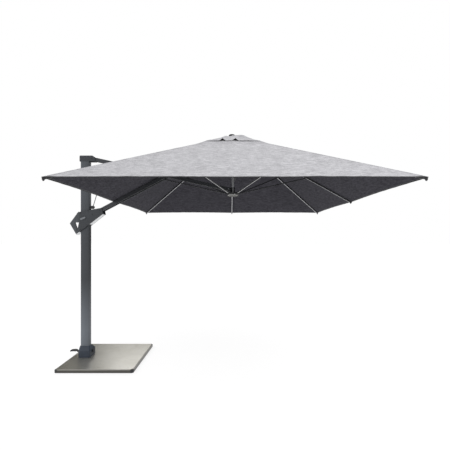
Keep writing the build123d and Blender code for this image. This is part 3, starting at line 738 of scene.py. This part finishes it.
def make_finial():
    """The knob that holds the vent cap's middle down on the crown."""
    profile = [(0.036, 0.0), (0.039, 0.003), (0.039, 0.008), (0.036, 0.013), (0.027, 0.017),
               (0.015, 0.0195), (0.004, 0.0205)]
    foot = (HUB_X - 0.012, 0, CAP_APEX_Z - 0.028)
    turned("crown_finial", profile, foot, (0, 0, 1), "crown", MATT_BLACK)


def make_cheek_screws():
    """Socket screws on the outer faces of the carriage's two cheeks."""
    cheek_face = 0.048
    profile = [(0.0075, 0.0), (0.0075, 0.0018), (0.006, 0.0030), (0.0036, 0.0032),
               (0.0034, 0.0012), (0.001, 0.001)]
    places = ((-0.045, 1.625), (-0.045, 1.832), (0.045, 1.858), (0.190, 1.868))
    for way, word in ((-1, "b"), (1, "a")):
        for count, (x, z) in enumerate(places, start=1):
            turned(f"cheek_screw_{count}{word}", profile, (x, way * cheek_face, z), (0, way, 0), "carriage",
                   DARK_STEEL, 20)


# ---- restraint cord

CORD_ROUTE = [(0.087, 0.0, 1.912), (0.134, 0.0, 2.047), (0.232, 0.0, 2.447)]
CORD_R = 0.004


def make_cord():
    """The braid along the cord's route, as a tube."""
    curve = bpy.data.curves.new("cord_route", "CURVE")
    curve.dimensions = "3D"
    spline = curve.splines.new("NURBS")
    spline.points.add(len(CORD_ROUTE) - 1)
    for point, place in zip(spline.points, CORD_ROUTE):
        point.co = (*place, 1)
    spline.order_u = 3
    spline.use_endpoint_u = True
    spline.resolution_u = 24
    holder = bpy.data.objects.new("cord_route", curve)
    bpy.context.scene.collection.objects.link(holder)
    graph = bpy.context.evaluated_depsgraph_get()
    line = bpy.data.meshes.new_from_object(holder.evaluated_get(graph), depsgraph=graph)
    curve.bevel_depth = CORD_R
    curve.bevel_resolution = 6
    curve.use_fill_caps = True
    graph = bpy.context.evaluated_depsgraph_get()
    tube = bpy.data.meshes.new_from_object(holder.evaluated_get(graph), depsgraph=graph)
    bpy.data.objects.remove(holder)
    piece = bpy.data.objects.new("restraint_cord_braid", tube)
    bpy.context.scene.collection.objects.link(piece)
    paint(piece, CORD)
    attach(piece, "mast")
    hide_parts("restraint_cord")
    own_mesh(piece)


# ---- stage

FLOOR_HALF = 120.0
CARD_Y = 7                     # behind the object
OLIVE = (1.0, 0.95, 0.72)


def backdrop(name, corners, grey, roughness, glow, glow_colour=(1, 1, 1)):
    """A flat quad that shines by itself. It isn't part of the object."""
    mesh = bpy.data.meshes.new(name)
    mesh.from_pydata(corners, [], [(0, 1, 2, 3)])
    quad = bpy.data.objects.new(name, mesh)
    bpy.context.scene.collection.objects.link(quad)
    material = bpy.data.materials.new(name)
    material.use_nodes = True
    shader = material.node_tree.nodes["Principled BSDF"]
    shader.inputs["Base Color"].default_value = (grey, grey, grey, 1)
    shader.inputs["Roughness"].default_value = roughness
    shader.inputs["Emission Color"].default_value = (*glow_colour, 1)
    shader.inputs["Emission Strength"].default_value = glow
    quad.data.materials.append(material)
    return quad


def make_floor():
    """A pale floor under the whole view."""
    ends = (-FLOOR_HALF, FLOOR_HALF)
    corners = [(ends[0], ends[0], 0), (ends[1], ends[0], 0), (ends[1], ends[1], 0), (ends[0], ends[1], 0)]
    floor = backdrop("floor", corners, 0.26, 0.9, 0.77)


def reflection_card(name, left, right, low, high, glow, glow_colour=(1, 1, 1)):
    """A card behind the object that only its shiny metal reflects."""
    corners = [(left, CARD_Y, low), (right, CARD_Y, low), (right, CARD_Y, high), (left, CARD_Y, high)]
    card = backdrop(name, corners, 0.01, 0.5, glow, glow_colour)
    card.visible_camera = False
    card.visible_diffuse = False
    card.visible_shadow = False


def make_cards():
    """What the base's brushed top mirrors: dark to the left and above the horizon, bright above that."""
    dark_to = 2.62
    reflection_card("dark_card_low", -14, 8, 0, dark_to, 0.08, OLIVE)
    reflection_card("dark_card_side", -14, -2.9, dark_to, 9, 0.08, OLIVE)
    reflection_card("bright_card", -2.4, 0.5, 2.9, 5.5, 2.3)


def area_light(name, place, target, size, watts, mirrored=True):
    """A square light at a place, turned to a target. Shiny metal shows it where it is mirrored."""
    light = bpy.data.lights.new(name, "AREA")
    light.shape = "SQUARE"
    light.size = size
    light.energy = watts
    holder = bpy.data.objects.new(name, light)
    holder.visible_glossy = mirrored
    holder.location = place
    holder.rotation_mode = "QUATERNION"
    holder.rotation_quaternion = (Vector(target) - Vector(place)).to_track_quat("-Z", "Y")
    bpy.context.scene.collection.objects.link(holder)


def make_lights():
    """A white room, with a key light that shiny metal doesn't mirror and a weak fill light."""
    world = bpy.data.worlds.new("studio")
    world.use_nodes = True
    world.node_tree.nodes["Background"].inputs["Color"].default_value = (1, 1, 1, 1)
    world.node_tree.nodes["Background"].inputs["Strength"].default_value = 1.0
    bpy.context.scene.world = world
    area_light("key", (5.5, -6.0, 5.5), (HUB_X, 0, 1.8), 4.0, 240, mirrored=False)
    area_light("fill", (-4.5, -4.0, 2.2), (0.2, 0, 1.0), 3.0, 20)


def make_camera():
    """A level camera that looks along +Y, with its lens shifted."""
    lens = bpy.data.cameras.new("camera")
    lens.sensor_width = 36.0
    lens.lens = 24.66
    lens.shift_x = -0.010
    lens.shift_y = 0.0356
    camera = bpy.data.objects.new("camera", lens)
    camera.location = (1.812, -3.893, 1.482)
    camera.rotation_euler = (math.radians(90), 0, 0)
    bpy.context.scene.collection.objects.link(camera)
    bpy.context.scene.camera = camera
    bpy.context.scene.view_settings.view_transform = "Standard"


make_camera()
make_cord()
finish_cad_nodes()
make_canopy()
make_vent_cap()
make_finial()
make_cheek_screws()
make_floor()
make_cards()
make_lights()
